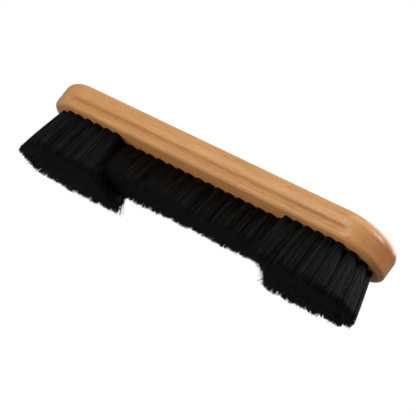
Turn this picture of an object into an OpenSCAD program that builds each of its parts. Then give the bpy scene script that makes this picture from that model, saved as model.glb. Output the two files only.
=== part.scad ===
// Staple-set hand brush: a drilled wooden block with a finger groove along each side,
// short bristles along the middle and long, splayed bristles round both ends.
// The brush stands on its long bristle tips at z = 0, with the block on top.

/* [Block] */
// Length of the wooden block
block_len = 228.6; // [220:0.1:240]
// Width of the block, which is also the diameter of its round ends
block_w = 46; // [44:0.5:52]
// Thickness of the block
block_t = 16.8; // [16:0.1:20]
// Radius of the round-over along the block's top edge
top_round = 6; // [4:0.1:6.4]
// Radius of the rounding along the block's bristle-side edge
low_round = 2.4; // [1:0.1:2.4]

/* [Finger grooves] */
// Height of the groove's opening in the side of the block
groove_h = 4.6; // [4:0.1:5.4]
// Depth of the groove
groove_d = 1.4; // [1:0.1:1.8]
// Height of the groove's lower lip above the drilled face
groove_lip = 2.5; // [2.4:0.1:3.4]

/* [Drilling] */
// Distance between tufts along a row
tuft_pitch = 7.1; // [7:0.01:7.2]
// Distance between rows of tufts
row_pitch = 7.5; // [7.2:0.1:7.6]
// Radius of each blind hole
hole_r = 2.25; // [2:0.05:2.3]
// Depth of each blind hole
hole_depth = 10; // [8:0.5:12]

/* [Bristles] */
// Free length of the long bristles at both ends
long_len = 29; // [25:0.5:36]
// Free length of the short bristles along the middle
short_len = 21; // [16:0.5:23]
// Radius of a long tuft at its tip
long_tip_r = 3.1; // [2.6:0.1:3.2]
// Radius of a short tuft at its tip
short_tip_r = 2.9; // [2.5:0.1:2.9]
// Outward reach of the outermost tips at the left end, past their holes
splay_left = 10; // [8:0.5:11]
// Outward reach of the outermost tips at the right end, past their holes
splay_right = 8.4; // [7:0.1:11]
// Backward reach of the outermost tips at the left end
sweep_left = 5.5; // [0:0.5:6]
// Sideways reach of the outer row's tips at both ends
splay_side = 2; // [0:0.1:3]
// Sideways reach of the short rows' tips along the middle
splay_mid = 2.2; // [0:0.1:2.6]
// Lean of the long sections' innermost tips towards the middle
lean_in = 1.2; // [0:0.1:1.4]

/* [Wire anchors] */
// Width of the flat wire anchor, which bites into the wood at both ends
anchor_w = 5.2; // [5:0.1:5.6]
// Height of the anchor along the hole
anchor_h = 1.6; // [1:0.1:2.5]
// Thickness of the anchor wire
anchor_t = 0.45; // [0.3:0.05:0.6]
// Thickness of the bristle fold between the anchor and the hole's floor
fold_t = 0.9; // [0.5:0.1:1.5]

/* [Hidden] */
MID_COLS = 16;
END_COLS = 5;
OUTER_ARC_ANGLES = [15, 45, 75, 105, 135, 165];
INNER_ARC_ANGLES = [30, 90, 150];
LEFT = -1;
RIGHT = 1;
FRONT = -1;
BACK = 1;

block_r = block_w / 2;
block_z = long_len;
straight = block_len - block_w;
arc_x = straight / 2;
groove_r = (groove_h * groove_h / 4 + groove_d * groove_d) / (2 * groove_d);
groove_z = block_z + groove_lip + groove_h / 2;
groove_y = block_r + groove_r - groove_d;
outer_y = 2 * row_pitch;
first_end_x = (MID_COLS + 1) / 2 * tuft_pitch;
last_end_x = arc_x + outer_y;
hole_clearance = 0.05;
root_r = hole_r - hole_clearance;
mouth_flare = 0.15;
mouth_r = hole_r + mouth_flare;
root_top = block_z + hole_depth;
anchor_z = root_top - fold_t - anchor_h;
clip = 3 * long_len;
join = 0.01;
run_out = 1;
BAR_SIDES = 96;
EDGE_SIDES = 48;
TUFT_SIDES = 32;

WOOD = [0.80, 0.60, 0.38];
HAIR = [0.06, 0.06, 0.06];
STEEL = [0.72, 0.72, 0.70];

// Hole centres of one short row along the middle; row counts from the centre line
function mid_row(row) =
    [for (i = [0 : MID_COLS - 1]) [(i - (MID_COLS - 1) / 2) * tuft_pitch, row * row_pitch]];

// Hole centres of one straight row in an end section
function end_row(side, row) =
    [for (i = [0 : END_COLS - 1]) [side * (first_end_x + i * tuft_pitch), row * row_pitch]];

// Hole centres round the end of the block; angle 0 points to the front
function end_arc(side, radius, angles) =
    [for (a = angles) [side * (arc_x + radius * sin(a)), -radius * cos(a)]];

function outer_arc(side) = end_arc(side, outer_y, OUTER_ARC_ANGLES);
function inner_arc(side) = end_arc(side, row_pitch, INNER_ARC_ANGLES);

short_holes = [for (row = [-1 : 1]) each mid_row(row)];
long_holes = [for (side = [LEFT, RIGHT]) each concat(
    [for (row = [-2 : 2]) each end_row(side, row)], outer_arc(side), inner_arc(side))];

// How far an end tuft's tip lies from its hole: outwards at the end, inwards beside the middle
function end_reach(p) =
    let (t = (abs(p[0]) - first_end_x) / (last_end_x - first_end_x),
         splay = p[0] < 0 ? splay_left : splay_right,
         sweep = p[0] < 0 ? sweep_left : 0)
    [sign(p[0]) * (splay * t * t - lean_in * (1 - t) * (1 - t)),
        splay_side * p[1] / outer_y + sweep * t * t];

function mid_reach(p) = [0, splay_mid * p[1] / row_pitch];

// Outline of the block's edge, from its axis out to the side, with both roundings
module edge_profile() {
    translate([0, low_round])
        square([block_r, block_t - low_round - top_round]);
    square([block_r - low_round, low_round + join]);
    translate([0, block_t - top_round - join])
        square([block_r - top_round, top_round + join]);
    translate([block_r - low_round, low_round])
        circle(r = low_round, $fn = EDGE_SIDES);
    translate([block_r - top_round, block_t - top_round])
        circle(r = top_round, $fn = EDGE_SIDES);
}

// Solid block with round ends, before grooves and holes
module blank() {
    translate([-arc_x, 0, 0])
        rotate([90, 0, 90])
            linear_extrude(straight) {
                edge_profile();
                mirror([1, 0])
                    edge_profile();
            }
    for (side = [LEFT, RIGHT])
        translate([side * arc_x, 0, 0])
            rotate([0, 0, side > 0 ? -90 : 90])
                rotate_extrude(angle = 180, $fn = BAR_SIDES)
                    edge_profile();
}

// Cutter for one finger groove: a straight bar, so the groove runs out round the block's ends
module groove_cutter(side) {
    translate([0, side * groove_y, groove_z])
        rotate([0, 90, 0])
            cylinder(h = block_len + 2 * run_out, r = groove_r, center = true, $fn = BAR_SIDES);
}

// Flat wire anchor across one hole
module anchor_at(p) {
    translate([p[0] - anchor_w / 2, p[1] - anchor_t / 2, anchor_z])
        cube([anchor_w, anchor_t, anchor_h]);
}

module hole_at(p) {
    translate([p[0], p[1], block_z - join])
        cylinder(h = hole_depth + join, r = hole_r, $fn = TUFT_SIDES);
}

// Free part of a tuft: a tapered bundle aimed at its tip and trimmed flat at both faces
module free_tuft(p, reach, len, tip_r) {
    tilt = atan(norm(reach) / len);
    turn = atan2(reach[1], reach[0]);
    slant = len / cos(tilt);
    spare = 4;
    taper = (tip_r - mouth_r) / slant;
    intersection() {
        translate([p[0], p[1], block_z])
            rotate([0, 180 - tilt, turn])
                translate([0, 0, -spare])
                    cylinder(h = slant + 2 * spare, r1 = mouth_r - taper * spare,
                        r2 = tip_r + taper * spare, $fn = TUFT_SIDES);
        translate([p[0] - clip / 2, p[1] - clip / 2, block_z - len])
            cube([clip, clip, len]);
    }
}

// One bristle tuft, folded over its anchor in the hole
module tuft(p, reach, len, tip_r) {
    difference() {
        union() {
            translate([p[0], p[1], block_z])
                cylinder(h = hole_depth, r = root_r, $fn = TUFT_SIDES);
            free_tuft(p, reach, len, tip_r);
        }
        anchor_at(p);
    }
}

module wood_block() {
    color(WOOD)
        difference() {
            translate([0, 0, block_z])
                blank();
            for (side = [FRONT, BACK])
                groove_cutter(side);
            for (p = concat(short_holes, long_holes)) {
                hole_at(p);
                anchor_at(p);
            }
        }
}

module long_tufts(points) {
    color(HAIR)
        for (p = points)
            tuft(p, end_reach(p), long_len, long_tip_r);
}

module short_tufts(points) {
    color(HAIR)
        for (p = points)
            tuft(p, mid_reach(p), short_len, short_tip_r);
}

module anchors(points) {
    color(STEEL)
        for (p = points)
            anchor_at(p);
}

wood_block();

short_tufts(mid_row(-1));  // bristles_mid_front
short_tufts(mid_row(0));  // bristles_mid_centre
short_tufts(mid_row(1));  // bristles_mid_back

long_tufts(end_row(LEFT, -2));  // bristles_left_outer_front
long_tufts(end_row(LEFT, -1));  // bristles_left_inner_front
long_tufts(end_row(LEFT, 0));  // bristles_left_centre
long_tufts(end_row(LEFT, 1));  // bristles_left_inner_back
long_tufts(end_row(LEFT, 2));  // bristles_left_outer_back
long_tufts(outer_arc(LEFT));  // bristles_left_arc_outer
long_tufts(inner_arc(LEFT));  // bristles_left_arc_inner

long_tufts(end_row(RIGHT, -2));  // bristles_right_outer_front
long_tufts(end_row(RIGHT, -1));  // bristles_right_inner_front
long_tufts(end_row(RIGHT, 0));  // bristles_right_centre
long_tufts(end_row(RIGHT, 1));  // bristles_right_inner_back
long_tufts(end_row(RIGHT, 2));  // bristles_right_outer_back
long_tufts(outer_arc(RIGHT));  // bristles_right_arc_outer
long_tufts(inner_arc(RIGHT));  // bristles_right_arc_inner

anchors(mid_row(-1));  // anchors_mid_front
anchors(mid_row(0));  // anchors_mid_centre
anchors(mid_row(1));  // anchors_mid_back

anchors(end_row(LEFT, -2));  // anchors_left_outer_front
anchors(end_row(LEFT, -1));  // anchors_left_inner_front
anchors(end_row(LEFT, 0));  // anchors_left_centre
anchors(end_row(LEFT, 1));  // anchors_left_inner_back
anchors(end_row(LEFT, 2));  // anchors_left_outer_back
anchors(outer_arc(LEFT));  // anchors_left_arc_outer
anchors(inner_arc(LEFT));  // anchors_left_arc_inner

anchors(end_row(RIGHT, -2));  // anchors_right_outer_front
anchors(end_row(RIGHT, -1));  // anchors_right_inner_front
anchors(end_row(RIGHT, 0));  // anchors_right_centre
anchors(end_row(RIGHT, 1));  // anchors_right_inner_back
anchors(end_row(RIGHT, 2));  // anchors_right_outer_back
anchors(outer_arc(RIGHT));  // anchors_right_arc_outer
anchors(inner_arc(RIGHT));  // anchors_right_arc_inner
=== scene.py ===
"""Looks for the hand brush: varnished wooden block, folded bristle tufts and their wire anchors.

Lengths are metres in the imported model's frame: +X along the block, +Z up from the bristle tips
to the block's flat back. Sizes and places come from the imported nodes, apart from the block's
roundings and grooves and the limits between the brush's sections, which repeat part.scad.
"""
import math

import bpy
import bmesh
import numpy as np
from mathutils import Matrix, Vector


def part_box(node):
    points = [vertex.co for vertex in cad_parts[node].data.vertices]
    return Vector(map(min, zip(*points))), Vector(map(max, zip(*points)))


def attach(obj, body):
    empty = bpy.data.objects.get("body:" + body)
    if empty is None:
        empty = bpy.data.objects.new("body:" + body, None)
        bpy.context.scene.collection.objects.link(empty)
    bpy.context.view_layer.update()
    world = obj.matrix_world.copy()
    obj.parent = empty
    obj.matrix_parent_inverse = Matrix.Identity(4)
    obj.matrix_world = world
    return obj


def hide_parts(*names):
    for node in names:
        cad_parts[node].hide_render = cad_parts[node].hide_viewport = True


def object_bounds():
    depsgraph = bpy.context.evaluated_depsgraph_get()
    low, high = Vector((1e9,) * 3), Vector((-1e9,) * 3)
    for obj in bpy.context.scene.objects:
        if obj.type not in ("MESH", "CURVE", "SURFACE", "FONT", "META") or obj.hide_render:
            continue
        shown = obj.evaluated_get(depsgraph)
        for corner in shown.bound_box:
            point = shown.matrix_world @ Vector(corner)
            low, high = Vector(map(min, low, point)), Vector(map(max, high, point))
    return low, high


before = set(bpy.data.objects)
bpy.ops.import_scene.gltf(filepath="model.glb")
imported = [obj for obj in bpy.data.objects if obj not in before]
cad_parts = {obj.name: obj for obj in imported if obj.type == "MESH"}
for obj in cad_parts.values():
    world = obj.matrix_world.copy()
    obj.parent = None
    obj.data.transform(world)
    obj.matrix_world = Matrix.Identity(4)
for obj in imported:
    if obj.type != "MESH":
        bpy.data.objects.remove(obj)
cad_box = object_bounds()

MM = 0.001
BODY = "root"
BLOCK = "wood_block"
HAIR_NODES = sorted(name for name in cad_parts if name.startswith("bristles_"))
WIRE_NODES = sorted(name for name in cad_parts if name.startswith("anchors_"))

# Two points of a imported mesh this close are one, and an end face's points are this level
SAME_POINT = 0.01 * MM
SAME_LEVEL = 0.05 * MM

# Block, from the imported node's box
block_low, block_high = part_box(BLOCK)
BLOCK_R = (block_high.y - block_low.y) / 2
BLOCK_T = block_high.z - block_low.z
FACE_Z = block_low.z
ARC_X = block_high.x - BLOCK_R
TOP_ROUND = 6.0 * MM
LOW_ROUND = 2.4 * MM

# Finger grooves: a straight round bar cut along each side, running out at the ends
GROOVE_H = 4.6 * MM
GROOVE_D = 1.4 * MM
GROOVE_LIP = 2.5 * MM
GROOVE_R = (GROOVE_H ** 2 / 4 + GROOVE_D ** 2) / (2 * GROOVE_D)
GROOVE_Z = GROOVE_LIP + GROOVE_H / 2
GROOVE_Y = BLOCK_R + GROOVE_R - GROOVE_D

# The lips are rounded over LIP_SOFT. Where the side's outward direction has less Y than
# GROOVE_FACING, round the ends, there is no groove
LIP_SOFT = 0.9 * MM
GROOVE_FACING = 0.5

# How finely the block's mesh is divided
ROUNDING_STEP = 6
SIDE_HEIGHTS = 66
STRAIGHT_POINTS = 181
END_POINTS = 121
FLAT_RING = 0.3 * MM
SHARP_DEGREES = 50

# Drilled holes: the part of their depth that the mesh has, and the gap round a tuft's root
HOLE_SIDES = 28
HOLE_SHOWN = 3.0 * MM
HOLE_CLEARANCE = 0.05 * MM
FACE_MARGIN = 0.1 * MM

# Filaments: number in a tuft, radius, steps from root to tip, and how far inside the hole they start
FILAMENTS = 210
FILAMENT_R = 0.16 * MM
THINNEST = 0.85
THICKEST = 1.1
TAPER_AT = (0.0, 0.8, 1.0)
TAPER_TO = (1.0, 0.95, 0.7)
SIDES = 4
STEPS = np.array([0.0, 0.10, 0.24, 0.42, 0.62, 0.82, 1.0])
ROOT_IN = 1.2 * MM

# Sections: long tufts are longer than LONG_FREE, and the ends lie beyond INNER_X
LONG_FREE = 26.0 * MM
INNER_X = 64.0 * MM
LAST_ROW_Y = 15.0 * MM

# Seed of the first node's random draws, and how rare the lighter filaments are
FIRST_SEED = 100
SHADE_SKEW = 2.0

# Spread of a tuft's filaments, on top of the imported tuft's own taper
FAN = 2.2 * MM
FRAY = 0.5 * MM
HELD_IN = 0.6
ROOT_JITTER = 0.04
TUFT_TURN = 0.3
LEAN_JITTER = 0.3 * MM
BEND = 0.35 * MM
LOOSE_SHARE = 0.03
LOOSE_SPREAD = 1.0 * MM

# Reach of the sections' tips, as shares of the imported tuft's, and the right inner edge's twist
RIGHT_REACH = 0.82
LEFT_REACH = 1.2
BACK_REACH = 0.5
TWIST = 0.45
SWEPT = 2.5 * MM
SWEPT_MOST = 4.5 * MM

# Strays along the inner edges
STRAY_SHARE = 0.25
STRAY_REACH = 6.0 * MM
STRAY_RARITY = 1.5

# Trimming, and how uneven it leaves single filaments and whole tufts
TRIM = 0.45 * MM
FILAMENT_UNEVEN = 0.35 * MM
TUFT_UNEVEN = 0.3 * MM

# How late along a filament it leans or curls away, and how early it fans out
LEAN_CURVE = 1.25
FAN_CURVE = 2.6
CURL_CURVE = 4.0


# ---------------------------------------------------------------- helpers

def new_object(name, mesh, finish):
    """Links a mesh that stands in the row frame, and makes it ride on the brush."""
    piece = bpy.data.objects.new(name, mesh)
    bpy.context.scene.collection.objects.link(piece)
    mesh.materials.append(finish)
    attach(piece, BODY)
    return piece


def islands(node):
    """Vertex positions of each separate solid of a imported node."""
    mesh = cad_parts[node].data
    count = len(mesh.vertices)
    points = np.empty(count * 3)
    mesh.vertices.foreach_get("co", points)
    points = points.reshape(-1, 3)
    keys = np.round(points / SAME_POINT).astype(int)
    _, same = np.unique(keys, axis=0, return_inverse=True)
    same = same.ravel()
    parent = list(range(int(same.max()) + 1))

    def root(i):
        while parent[i] != i:
            parent[i] = parent[parent[i]]
            i = parent[i]
        return i

    for edge in mesh.edges:
        a, b = edge.vertices
        parent[root(same[a])] = root(same[b])
    groups = {}
    for i in range(count):
        groups.setdefault(root(same[i]), []).append(i)
    return [points[members] for members in groups.values()]


def ring_at(points, height):
    """Centre and radius, in X and Y, of a solid's end face at that height."""
    face = points[np.abs(points[:, 2] - height) < SAME_LEVEL]
    low = face[:, :2].min(0)
    high = face[:, :2].max(0)
    return (low + high) / 2, (high - low)[1] / 2


def tufts_of(node):
    """Each tuft of a node: hole centre, hole radius, tip centre, tip radius and free length."""
    found = []
    for points in islands(node):
        hole, hole_r = ring_at(points, points[:, 2].max())
        tip, tip_r = ring_at(points, points[:, 2].min())
        found.append((hole, hole_r, tip, tip_r, FACE_Z - points[:, 2].min()))
    return sorted(found, key=lambda t: (round(t[0][0], 5), round(t[0][1], 5)))


# ---------------------------------------------------------------- materials

def material(name):
    """An empty node material and a function that adds nodes to it."""
    made = bpy.data.materials.new(name)
    made.use_nodes = True
    tree = made.node_tree
    tree.nodes.clear()

    def add(kind, inputs=(), **settings):
        node = tree.nodes.new(kind)
        for key, value in settings.items():
            setattr(node, key, value)
        for key, value in dict(inputs).items():
            if isinstance(value, bpy.types.NodeSocket):
                tree.links.new(value, node.inputs[key])
            else:
                node.inputs[key].default_value = value
        return node

    return made, add


def ramp(add, factor, stops):
    """A colour ramp through (position, colour) stops."""
    node = add("ShaderNodeValToRGB", {"Fac": factor})
    elements = node.color_ramp.elements
    while len(elements) < len(stops):
        elements.new(0.5)
    for element, (position, colour) in zip(elements, stops):
        element.position = position
        element.color = (*colour, 1.0)
    return node.outputs["Color"]


def mix(add, factor, a, b, blend="MIX"):
    """Colour b over colour a, by that factor and way of blending."""
    node = add("ShaderNodeMix", data_type="RGBA", blend_type=blend)
    tree = node.id_data
    for key, value in ((0, factor), (6, a), (7, b)):
        if isinstance(value, bpy.types.NodeSocket):
            tree.links.new(value, node.inputs[key])
        else:
            node.inputs[key].default_value = value
    return node.outputs[2]


def stretched(add, scale, shift=(0.0, 0.0, 0.0)):
    """Object coordinates, scaled apart along the three axes."""
    where = add("ShaderNodeTexCoord").outputs["Object"]
    return add("ShaderNodeMapping", {"Vector": where, "Scale": scale, "Location": shift}).outputs[0]


def wood_material():
    """Honey-coloured wood under satin varnish, grain along X, growth rings across the ends."""
    made, add = material("varnished_wood")
    rings = add("ShaderNodeTexWave", {
        "Vector": stretched(add, (4.0, 100.0, 100.0), (0.3, 2.2, 3.1)), "Scale": 0.55,
        "Distortion": 3.2, "Detail": 3.0, "Detail Scale": 0.8},
        wave_type="RINGS", rings_direction="X", wave_profile="SAW").outputs["Fac"]
    fibre = add("ShaderNodeTexNoise", {
        "Vector": stretched(add, (60.0, 1500.0, 1500.0)), "Scale": 1.0,
        "Detail": 5.0, "Roughness": 0.62}).outputs["Fac"]
    mottle = add("ShaderNodeTexNoise", {
        "Vector": stretched(add, (45.0, 110.0, 110.0)), "Scale": 1.0,
        "Detail": 3.0, "Roughness": 0.5}).outputs["Fac"]
    fleck = add("ShaderNodeTexNoise", {
        "Vector": stretched(add, (150.0, 2400.0, 2400.0), (5.0, 1.0, 2.0)), "Scale": 1.0,
        "Detail": 2.0, "Roughness": 0.4}).outputs["Fac"]
    tone = ramp(add, mottle, [
        (0.30, (0.48, 0.212, 0.064)), (0.50, (0.575, 0.278, 0.090)), (0.72, (0.64, 0.330, 0.118))])
    tone = mix(add, 0.30, tone, ramp(add, rings, [
        (0.0, (0.64, 0.340, 0.130)), (0.7, (0.55, 0.270, 0.090)), (1.0, (0.43, 0.180, 0.052))]))
    tone = mix(add, 0.45, tone, ramp(add, fibre, [
        (0.30, (0.42, 0.185, 0.055)), (0.52, (0.565, 0.280, 0.096)), (0.75, (0.70, 0.385, 0.160))]))
    pores = ramp(add, fleck, [(0.62, (1.0, 1.0, 1.0)), (0.74, (0.62, 0.5, 0.4))])
    tone = mix(add, 1.0, tone, pores, "MULTIPLY")

    # End grain soaks up more stain, and painted shade is added on the ends as well, so the round
    # ends are darker and redder
    facing = add("ShaderNodeSeparateXYZ", {
        0: add("ShaderNodeTexCoord").outputs["Normal"]}).outputs["X"]
    across = add("ShaderNodeMath", {0: facing, 1: facing}, operation="MULTIPLY")
    end_stain_and_shade = ramp(add, across.outputs[0], [(0.08, (1.0, 1.0, 1.0)), (0.70, (0.70, 0.56, 0.46))])
    tone = mix(add, 1.0, tone, end_stain_and_shade, "MULTIPLY")

    # Painted shade: the grooves' upper walls, under their upper lips, are darkened in the colour
    groove_shade_mask = add("ShaderNodeAttribute", attribute_name="groove").outputs["Fac"]
    painted_groove_shade = ramp(add, groove_shade_mask, [(0.1, (1.0, 1.0, 1.0)), (0.8, (0.80, 0.67, 0.46))])
    tone = mix(add, 1.0, tone, painted_groove_shade, "MULTIPLY")
    rough = add("ShaderNodeMapRange", {
        "Value": mottle, "From Min": 0.3, "From Max": 0.7, "To Min": 0.30, "To Max": 0.44})
    bump = add("ShaderNodeBump", {"Height": fibre, "Strength": 0.10, "Distance": 0.15 * MM})
    add("ShaderNodeOutputMaterial", {"Surface": add("ShaderNodeBsdfPrincipled", {
        "Base Color": tone, "Roughness": rough.outputs[0], "Normal": bump.outputs[0],
        "Coat Weight": 0.3, "Coat Roughness": 0.25, "Specular IOR Level": 0.4}).outputs[0]})
    return made


def bare_wood_material():
    """The drilled face: stained but not varnished, so rougher and without a coat. Its colour is
    paler than the varnished wood, partly as painted light on the underside.
    """
    made, add = material("bare_wood_with_painted_light")
    fibre = add("ShaderNodeTexNoise", {
        "Vector": stretched(add, (90.0, 1100.0, 1100.0)), "Scale": 1.0,
        "Detail": 5.0, "Roughness": 0.65}).outputs["Fac"]
    mottle = add("ShaderNodeTexNoise", {
        "Vector": stretched(add, (60.0, 160.0, 160.0)), "Scale": 1.0, "Detail": 3.0}).outputs["Fac"]
    # Paler than the varnished wood: partly unvarnished wood, partly painted light on the underside
    tone = mix(add, 0.5, ramp(add, fibre, [
        (0.3, (0.52, 0.215, 0.068)), (0.7, (0.80, 0.370, 0.132))]), ramp(add, mottle, [
        (0.3, (0.58, 0.245, 0.083)), (0.7, (0.73, 0.335, 0.118))]))
    rough = add("ShaderNodeMapRange", {
        "Value": fibre, "From Min": 0.3, "From Max": 0.7, "To Min": 0.62, "To Max": 0.78})
    bump = add("ShaderNodeBump", {"Height": fibre, "Strength": 0.3, "Distance": 0.12 * MM})
    add("ShaderNodeOutputMaterial", {"Surface": add("ShaderNodeBsdfPrincipled", {
        "Base Color": tone, "Roughness": rough.outputs[0], "Normal": bump.outputs[0],
        "Specular IOR Level": 0.2}).outputs[0]})
    return made


def hair_material():
    """Black filament: each one a little lighter or darker, browner or bluer than the next."""
    made, add = material("black_bristle")
    shade = add("ShaderNodeAttribute", attribute_name="shade").outputs["Fac"]
    tone = ramp(add, shade, [
        (0.0, (0.002, 0.002, 0.002)), (0.75, (0.0045, 0.0043, 0.004)), (1.0, (0.021, 0.020, 0.018))])
    rough = add("ShaderNodeMapRange", {
        "Value": shade, "From Min": 0.0, "From Max": 1.0, "To Min": 0.40, "To Max": 0.55})
    scales = add("ShaderNodeTexNoise", {
        "Vector": stretched(add, (5200.0, 5200.0, 900.0)), "Scale": 1.0, "Detail": 2.0})
    bump = add("ShaderNodeBump", {
        "Height": scales.outputs["Fac"], "Strength": 0.25, "Distance": 0.03 * MM})
    add("ShaderNodeOutputMaterial", {"Surface": add("ShaderNodeBsdfPrincipled", {
        "Base Color": tone, "Roughness": rough.outputs[0], "Normal": bump.outputs[0],
        "Specular IOR Level": 0.25}).outputs[0]})
    return made


def wire_material():
    """Drawn flat wire, with fine lines along its length."""
    made, add = material("flat_wire")
    lines = add("ShaderNodeTexNoise", {
        "Vector": stretched(add, (400.0, 9000.0, 9000.0)), "Scale": 1.0, "Detail": 3.0})
    tone = ramp(add, lines.outputs["Fac"], [
        (0.35, (0.42, 0.42, 0.41)), (0.65, (0.62, 0.62, 0.60))])
    rough = add("ShaderNodeMapRange", {
        "Value": lines.outputs["Fac"], "From Min": 0.3, "From Max": 0.7,
        "To Min": 0.26, "To Max": 0.45})
    bump = add("ShaderNodeBump", {
        "Height": lines.outputs["Fac"], "Strength": 0.2, "Distance": 0.02 * MM})
    add("ShaderNodeOutputMaterial", {"Surface": add("ShaderNodeBsdfPrincipled", {
        "Base Color": tone, "Metallic": 1.0, "Roughness": rough.outputs[0],
        "Normal": bump.outputs[0]}).outputs[0]})
    return made


# ---------------------------------------------------------------- wooden block

def smooth_max(a, b, soft):
    """The larger of two depths, with a rounded change-over."""
    gap = np.clip(0.5 + 0.5 * (a - b) / soft, 0.0, 1.0)
    return b + (a - b) * gap + soft * gap * (1.0 - gap)


def edge_inset(height):
    """How far the block's side is drawn in by the roundings, at a height above its lower face."""
    low = LOW_ROUND - height
    top = height - (BLOCK_T - TOP_ROUND)
    if low > 0:
        return LOW_ROUND - math.sqrt(max(LOW_ROUND ** 2 - low ** 2, 0.0))
    if top > 0:
        return TOP_ROUND - math.sqrt(max(TOP_ROUND ** 2 - top ** 2, 0.0))
    return 0.0


def profile_heights():
    """Heights up the side, close together round the two edges and at the groove's lips."""
    quarter = [math.radians(a) for a in range(0, 91, ROUNDING_STEP)]
    low = [LOW_ROUND * (1 - math.cos(a)) for a in quarter]
    top = [BLOCK_T - TOP_ROUND + TOP_ROUND * math.sin(a) for a in quarter]
    middle = np.linspace(LOW_ROUND, BLOCK_T - TOP_ROUND, SIDE_HEIGHTS)[1:-1]
    return [*low, *middle, *top]


def outline_points():
    """Round the block: plan centre of curvature, outward direction, once per point."""
    straight = np.linspace(-ARC_X, ARC_X, STRAIGHT_POINTS)
    turns = np.radians(np.linspace(0, 180, END_POINTS))[1:-1]
    points = [(x, 0.0, 0.0, -1.0) for x in straight]
    points += [(ARC_X, 0.0, math.sin(a), -math.cos(a)) for a in turns]
    points += [(x, 0.0, 0.0, 1.0) for x in straight[::-1]]
    points += [(-ARC_X, 0.0, -math.sin(a), math.cos(a)) for a in turns]
    return points


def groove_depth(facing, height):
    """Depth of the groove, square to the side, where the side's outward direction has this Y.
    Outside the groove it is negative."""
    rise = height - GROOVE_Z
    if facing < GROOVE_FACING or abs(rise) >= GROOVE_R:
        return -2 * LIP_SOFT
    return BLOCK_R - (GROOVE_Y - math.sqrt(GROOVE_R ** 2 - rise ** 2)) / facing


def fill_flat(mesh, loops):
    """Fills the flat face between an outer loop and any holes in it."""
    edges = []
    for loop in loops:
        for a, b in zip(loop, loop[1:] + loop[:1]):
            edges.append(mesh.edges.get((a, b)) or mesh.edges.new((a, b)))
    bmesh.ops.triangle_fill(mesh, use_beauty=True, use_dissolve=False, edges=edges)


def build_block(holes):
    """The block as one closed mesh: grooved sides, flat back, drilled lower face."""
    mesh = bmesh.new()
    # Per point, how much painted shade the groove's upper wall gets in the wood's colour
    groove = mesh.verts.layers.float.new("groove")
    outline = outline_points()
    rows = []
    for height in profile_heights():
        inset = edge_inset(height)
        upper = np.clip(0.5 + (height - GROOVE_Z) / (0.5 * GROOVE_H), 0.0, 1.0)
        row = []
        for cx, cy, nx, ny in outline:
            cut = groove_depth(abs(ny), height)
            reach = BLOCK_R - max(smooth_max(inset, cut, LIP_SOFT), inset)
            vert = mesh.verts.new((cx + nx * reach, cy + ny * reach, FACE_Z + height))
            # Painted shade, most on the deep upper part of the groove
            vert[groove] = upper * np.clip(cut / GROOVE_D, 0.0, 1.0)
            row.append(vert)
        rows.append(row)
    for low, high in zip(rows, rows[1:]):
        for i in range(len(low)):
            j = (i + 1) % len(low)
            mesh.faces.new((low[i], low[j], high[j], high[i]))

    # A narrow flat ring keeps the rounding's shading off the two flat faces
    for row, height in ((rows[0], 0.0), (rows[-1], BLOCK_T)):
        reach = BLOCK_R - edge_inset(height) - FLAT_RING
        ring = [mesh.verts.new((cx + nx * reach, cy + ny * reach, FACE_Z + height))
                for cx, cy, nx, ny in outline]
        for i in range(len(row)):
            j = (i + 1) % len(row)
            corners = (row[i], row[j], ring[j], ring[i])
            mesh.faces.new(corners if height else corners[::-1])
        if height:
            fill_flat(mesh, [ring])
        else:
            lower_ring = ring
    loops = [lower_ring]
    for centre, radius in holes:
        circle = []
        for i in range(HOLE_SIDES):
            a = 2 * math.pi * i / HOLE_SIDES
            circle.append(mesh.verts.new((
                centre[0] + radius * math.cos(a), centre[1] + radius * math.sin(a), FACE_Z)))
        deep = [mesh.verts.new(v.co + Vector((0, 0, HOLE_SHOWN))) for v in circle]
        for i in range(HOLE_SIDES):
            j = (i + 1) % HOLE_SIDES
            mesh.faces.new((circle[i], circle[j], deep[j], deep[i]))
        mesh.faces.new(deep)
        loops.append(circle)
    fill_flat(mesh, loops)
    bmesh.ops.recalc_face_normals(mesh, faces=mesh.faces)

    # Bare wood, in a paler colour that is partly painted light, on the drilled face and in the holes
    bare_r = BLOCK_R - LOW_ROUND - FACE_MARGIN
    bare_z = FACE_Z + HOLE_SHOWN + FACE_MARGIN
    for face in mesh.faces:
        face.smooth = True
        middle = face.calc_center_median()
        at_end = max(abs(middle.x) - ARC_X, 0.0)
        if math.hypot(at_end, middle.y) < bare_r and middle.z < bare_z:
            face.material_index = 1
    for edge in mesh.edges:
        if len(edge.link_faces) == 2 and edge.calc_face_angle(0.0) > math.radians(SHARP_DEGREES):
            edge.smooth = False
    data = bpy.data.meshes.new("block")
    mesh.to_mesh(data)
    mesh.free()
    return data


# ---------------------------------------------------------------- bristles

def open_side(hole, free):
    """The direction in which a long tuft has no neighbour, or zero inside the field."""
    if abs(hole[0]) > ARC_X:
        out = hole - np.array([math.copysign(ARC_X, hole[0]), 0.0])
        return out / np.linalg.norm(out)
    if free > LONG_FREE and abs(hole[0]) < INNER_X:
        return np.array([-math.copysign(1.0, hole[0]), 0.0])
    return np.zeros(2)


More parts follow.
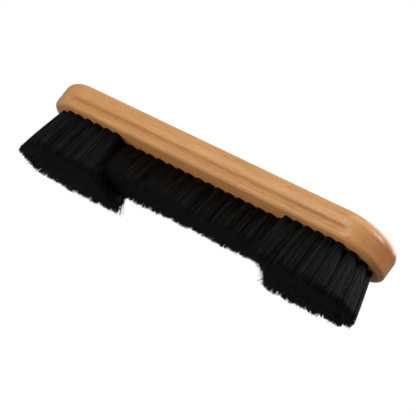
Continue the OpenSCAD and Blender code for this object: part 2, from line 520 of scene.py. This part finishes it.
def filament_paths(tuft, rng):
    """Centre lines of one tuft's filaments, as an array of filament, step, xyz, and their shades.
    The order of the random draws decides what every filament looks like."""
    hole, hole_r, tip, tip_r, free = tuft
    n = FILAMENTS
    index = np.arange(n) + 0.5
    radius = np.sqrt(index / n)
    angle = index * math.pi * (3 - math.sqrt(5)) + rng.uniform(0, 2 * math.pi)
    spot = np.stack([radius * np.cos(angle), radius * np.sin(angle)], 1)
    spot += rng.normal(0, ROOT_JITTER, (n, 2))
    twist = rng.uniform(-TUFT_TURN, TUFT_TURN)
    turn = np.array([[math.cos(twist), -math.sin(twist)], [math.sin(twist), math.cos(twist)]])

    # Where each filament leaves the hole, and how far it fans out from there to its tip
    start = hole + spot * (hole_r - FILAMENT_R)
    lean = (tip - hole) + rng.normal(0, LEAN_JITTER, 2)
    fan = spot @ turn * (tip_r - hole_r + FAN) + rng.normal(0, FRAY, (n, 2))
    loose = rng.random(n) < LOOSE_SHARE
    fan[loose] += rng.normal(0, LOOSE_SPREAD, (int(loose.sum()), 2))

    # The left end's tips reach further out, most of all at the back, and the right end's less;
    # the right section's inner edge is twisted, its front tips outwards and its back ones inwards
    if hole[0] > INNER_X:
        lean *= RIGHT_REACH
    elif hole[0] > 0 and free > LONG_FREE:
        lean[0] += np.clip(SWEPT - TWIST * hole[1], -SWEPT_MOST, SWEPT_MOST)
    elif hole[0] < -INNER_X:
        lean[0] *= LEFT_REACH + BACK_REACH * max(hole[1], 0.0) / LAST_ROW_Y

    # Filaments on a section's open side stay closer together
    out = open_side(hole, free)
    fan -= HELD_IN * np.maximum(fan @ out, 0.0)[:, None] * out

    # The long sections' inner edges have strays that lean in over the short bristles
    curl = np.zeros((n, 2))
    if free > LONG_FREE and abs(hole[0]) < INNER_X:
        stray = rng.random(n) < STRAY_SHARE
        pull = rng.uniform(0, 1, int(stray.sum())) ** STRAY_RARITY * STRAY_REACH
        curl[stray, 0] = -math.copysign(1.0, hole[0]) * pull

    # The sections are trimmed level: only the fanning out shortens a filament's drop, and no
    # filament reaches below its tuft's packed tip
    sideways = fan + curl
    length = free - TRIM + rng.normal(0, FILAMENT_UNEVEN, n) + rng.normal(0, TUFT_UNEVEN)
    drop = np.minimum(np.sqrt(length ** 2 - (sideways ** 2).sum(1)), free)
    bend = rng.normal(0, BEND, (n, 2))
    t = STEPS[None, :, None]
    plan = start[:, None, :] + lean * t ** LEAN_CURVE + fan[:, None, :] * (1 - (1 - t) ** FAN_CURVE)
    plan += curl[:, None, :] * t ** CURL_CURVE
    plan += bend[:, None, :] * np.sin(math.pi * t) * t
    height = FACE_Z + ROOT_IN - (ROOT_IN + drop)[:, None] * STEPS[None, :]
    paths = np.concatenate([plan, height[:, :, None]], 2)
    return paths, rng.random(n) ** SHADE_SKEW


def build_tufts(name, tufts, rng):
    """One mesh of all the filaments of a node, each a fine four-sided rod with a cut end."""
    everything = [filament_paths(tuft, rng) for tuft in tufts]
    paths = np.concatenate([p for p, _ in everything])
    shades = np.concatenate([s for _, s in everything])
    count, steps = paths.shape[:2]
    angle = np.arange(SIDES) * 2 * math.pi / SIDES
    around = np.stack([np.cos(angle), np.sin(angle), np.zeros(SIDES)], 1)
    spin = rng.uniform(0, math.pi / 2, count)
    cos, sin = np.cos(spin), np.sin(spin)
    turned = np.stack([
        around[None, :, 0] * cos[:, None] - around[None, :, 1] * sin[:, None],
        around[None, :, 0] * sin[:, None] + around[None, :, 1] * cos[:, None],
        np.zeros((count, SIDES))], 2)
    thickness = rng.uniform(THINNEST, THICKEST, count)[:, None] * np.interp(
        STEPS, TAPER_AT, TAPER_TO)[None, :] * FILAMENT_R
    verts = paths[:, :, None, :] + turned[:, None, :, :] * thickness[:, :, None, None]
    base = (np.arange(count) * steps * SIDES)[:, None, None]
    ring = (np.arange(steps - 1) * SIDES)[None, :, None]
    i = np.arange(SIDES)[None, None, :]
    j = (i + 1) % SIDES
    quads = np.stack(np.broadcast_arrays(
        base + ring + j, base + ring + i, base + ring + SIDES + i, base + ring + SIDES + j), 3)
    quads = quads.reshape(-1, 4)
    first = base[:, :, 0] + np.arange(SIDES)[None, :]
    last = base[:, :, 0] + (steps - 1) * SIDES + np.arange(SIDES)[None, ::-1]
    faces = np.concatenate([quads, first, last])
    data = bpy.data.meshes.new(name)
    data.from_pydata(verts.reshape(-1, 3).tolist(), [], faces.tolist())
    data.shade_smooth()
    shade = data.attributes.new("shade", "FLOAT", "POINT")
    shade.data.foreach_set("value", np.repeat(shades, steps * SIDES).astype(np.float32))
    return data


# ---------------------------------------------------------------- stage, lights, camera

def build_floor():
    """A wide pale floor under the tips, which fades into the white backdrop. Only a camera above
    it sees it: one that looks up at the bristles, as the main one does, sees past it, and light
    from below isn't held back."""
    half = 3.0
    below_tips = 0.1 * MM
    fade_from, fade_to = 0.3, 1.3
    data = bpy.data.meshes.new("floor")
    data.from_pydata([(-half, -half, 0), (half, -half, 0), (half, half, 0), (-half, half, 0)],
                     [], [(0, 1, 2, 3)])
    floor = bpy.data.objects.new("floor", data)
    bpy.context.scene.collection.objects.link(floor)
    floor.location.z = cad_box[0].z - below_tips
    made, add = material("pale_floor")
    grain = add("ShaderNodeTexNoise", {"Vector": stretched(add, (40.0, 40.0, 40.0)), "Detail": 4.0})
    tone = ramp(add, grain.outputs["Fac"], [(0.3, (0.80, 0.80, 0.79)), (0.7, (0.84, 0.84, 0.83))])
    matt = add("ShaderNodeBsdfDiffuse", {"Color": tone})
    distance = add("ShaderNodeVectorMath", {
        0: add("ShaderNodeTexCoord").outputs["Object"]}, operation="LENGTH")
    far = add("ShaderNodeMapRange", {
        "Value": distance.outputs["Value"], "From Min": fade_from, "From Max": fade_to},
        interpolation_type="SMOOTHSTEP")
    bright = add("ShaderNodeEmission", {"Color": (1.0, 1.0, 1.0, 1.0)})
    fading = add("ShaderNodeMixShader", {
        0: far.outputs[0], 1: matt.outputs[0], 2: bright.outputs[0]})
    clear = add("ShaderNodeBsdfTransparent")
    above = add("ShaderNodeMath", {
        0: 1.0, 1: add("ShaderNodeNewGeometry").outputs["Backfacing"]}, operation="SUBTRACT")
    shown = add("ShaderNodeMath", {
        0: above.outputs[0], 1: add("ShaderNodeLightPath").outputs["Is Camera Ray"]},
        operation="MULTIPLY")
    seen = add("ShaderNodeMixShader", {
        0: shown.outputs[0], 1: clear.outputs[0], 2: fading.outputs[0]})
    add("ShaderNodeOutputMaterial", {"Surface": seen.outputs[0]})
    data.materials.append(made)


def area_light(name, azimuth, elevation, distance, size, power, shine=True):
    """A square soft light that faces the brush from that direction, with or without highlights."""
    lamp = bpy.data.lights.new(name, "AREA")
    lamp.shape = "SQUARE"
    lamp.size = size
    lamp.energy = power
    holder = bpy.data.objects.new(name, lamp)
    holder.visible_glossy = shine
    bpy.context.scene.collection.objects.link(holder)
    a, e = math.radians(azimuth), math.radians(elevation)
    way = Vector((math.sin(a) * math.cos(e), -math.cos(a) * math.cos(e), math.sin(e)))
    holder.location = centre + way * distance
    holder.rotation_euler = way.to_track_quat("Z", "Y").to_euler()


def build_world(level, backdrop):
    """White surroundings: one level for light, another for what the camera sees behind."""
    world = bpy.data.worlds.new("studio")
    bpy.context.scene.world = world
    world.use_nodes = True
    tree = world.node_tree
    tree.nodes.clear()
    path = tree.nodes.new("ShaderNodeLightPath")
    light = tree.nodes.new("ShaderNodeBackground")
    shown = tree.nodes.new("ShaderNodeBackground")
    light.inputs["Strength"].default_value = level
    shown.inputs["Strength"].default_value = backdrop
    for node in (light, shown):
        node.inputs["Color"].default_value = (1.0, 1.0, 1.0, 1.0)
    choose = tree.nodes.new("ShaderNodeMixShader")
    out = tree.nodes.new("ShaderNodeOutputWorld")
    tree.links.new(path.outputs["Is Camera Ray"], choose.inputs[0])
    tree.links.new(light.outputs[0], choose.inputs[1])
    tree.links.new(shown.outputs[0], choose.inputs[2])
    tree.links.new(choose.outputs[0], out.inputs["Surface"])


def build_camera(azimuth, elevation, roll, distance, lens, aim, aside, above):
    """A camera that looks past aim from that direction; azimuth 0 looks along +Y. It is moved
    aside and above in the picture's own directions."""
    a, e, r = (math.radians(v) for v in (azimuth, elevation, roll))
    back = Vector((math.sin(a) * math.cos(e), -math.cos(a) * math.cos(e), math.sin(e)))
    right = Vector((math.cos(a), math.sin(a), 0.0))
    up = back.cross(right)
    side = right * math.cos(r) + up * math.sin(r)
    top = up * math.cos(r) - right * math.sin(r)
    data = bpy.data.cameras.new("photo_view")
    data.sensor_width = 36.0
    data.lens = lens
    data.clip_start = 0.01
    data.clip_end = 20.0
    camera = bpy.data.objects.new("photo_view", data)
    bpy.context.scene.collection.objects.link(camera)
    turn = Matrix((side, top, back)).transposed().to_4x4()
    spot = aim + side * aside + top * above
    camera.matrix_world = Matrix.Translation(spot + back * distance) @ turn
    bpy.context.scene.camera = camera


# ---------------------------------------------------------------- the scene

wood = wood_material()
bare_wood_with_painted_light = bare_wood_material()
hair = hair_material()
wire = wire_material()
centre = (cad_box[0] + cad_box[1]) / 2

tufts = {node: tufts_of(node) for node in HAIR_NODES}
holes = [(tuft[0], tuft[1] + HOLE_CLEARANCE) for node in HAIR_NODES for tuft in tufts[node]]
block = new_object("block_wood", build_block(holes), wood)
block.data.materials.append(bare_wood_with_painted_light)
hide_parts(BLOCK)

for number, node in enumerate(HAIR_NODES):
    rng = np.random.default_rng(FIRST_SEED + number)
    piece = new_object("hair_" + node[len("bristles_"):], build_tufts(node, tufts[node], rng),
                       hair)
    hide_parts(node)

for node in WIRE_NODES:
    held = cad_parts[node]
    held.data.materials.clear()
    held.data.materials.append(wire)

face_centre = Vector((0.0, 0.0, FACE_Z))
build_camera(azimuth=36.4, elevation=-14.8, roll=37.1, distance=1.30, lens=214.6,
             aim=face_centre, aside=-1.6 * MM, above=-9.1 * MM)
build_floor()
build_world(level=0.22, backdrop=1.0)

# Azimuth, elevation, distance, size, power
area_light("key", -15, 3, 1.2, 0.9, 7)
area_light("low_front", -25, -48, 1.2, 0.9, 5.5, shine=False)
area_light("overhead", 10, 60, 1.3, 1.2, 6.5)
area_light("right", 85, 42, 1.2, 0.6, 10)
area_light("back", 172, 50, 1.4, 1.0, 8)
bpy.context.scene.view_settings.view_transform = "Standard"
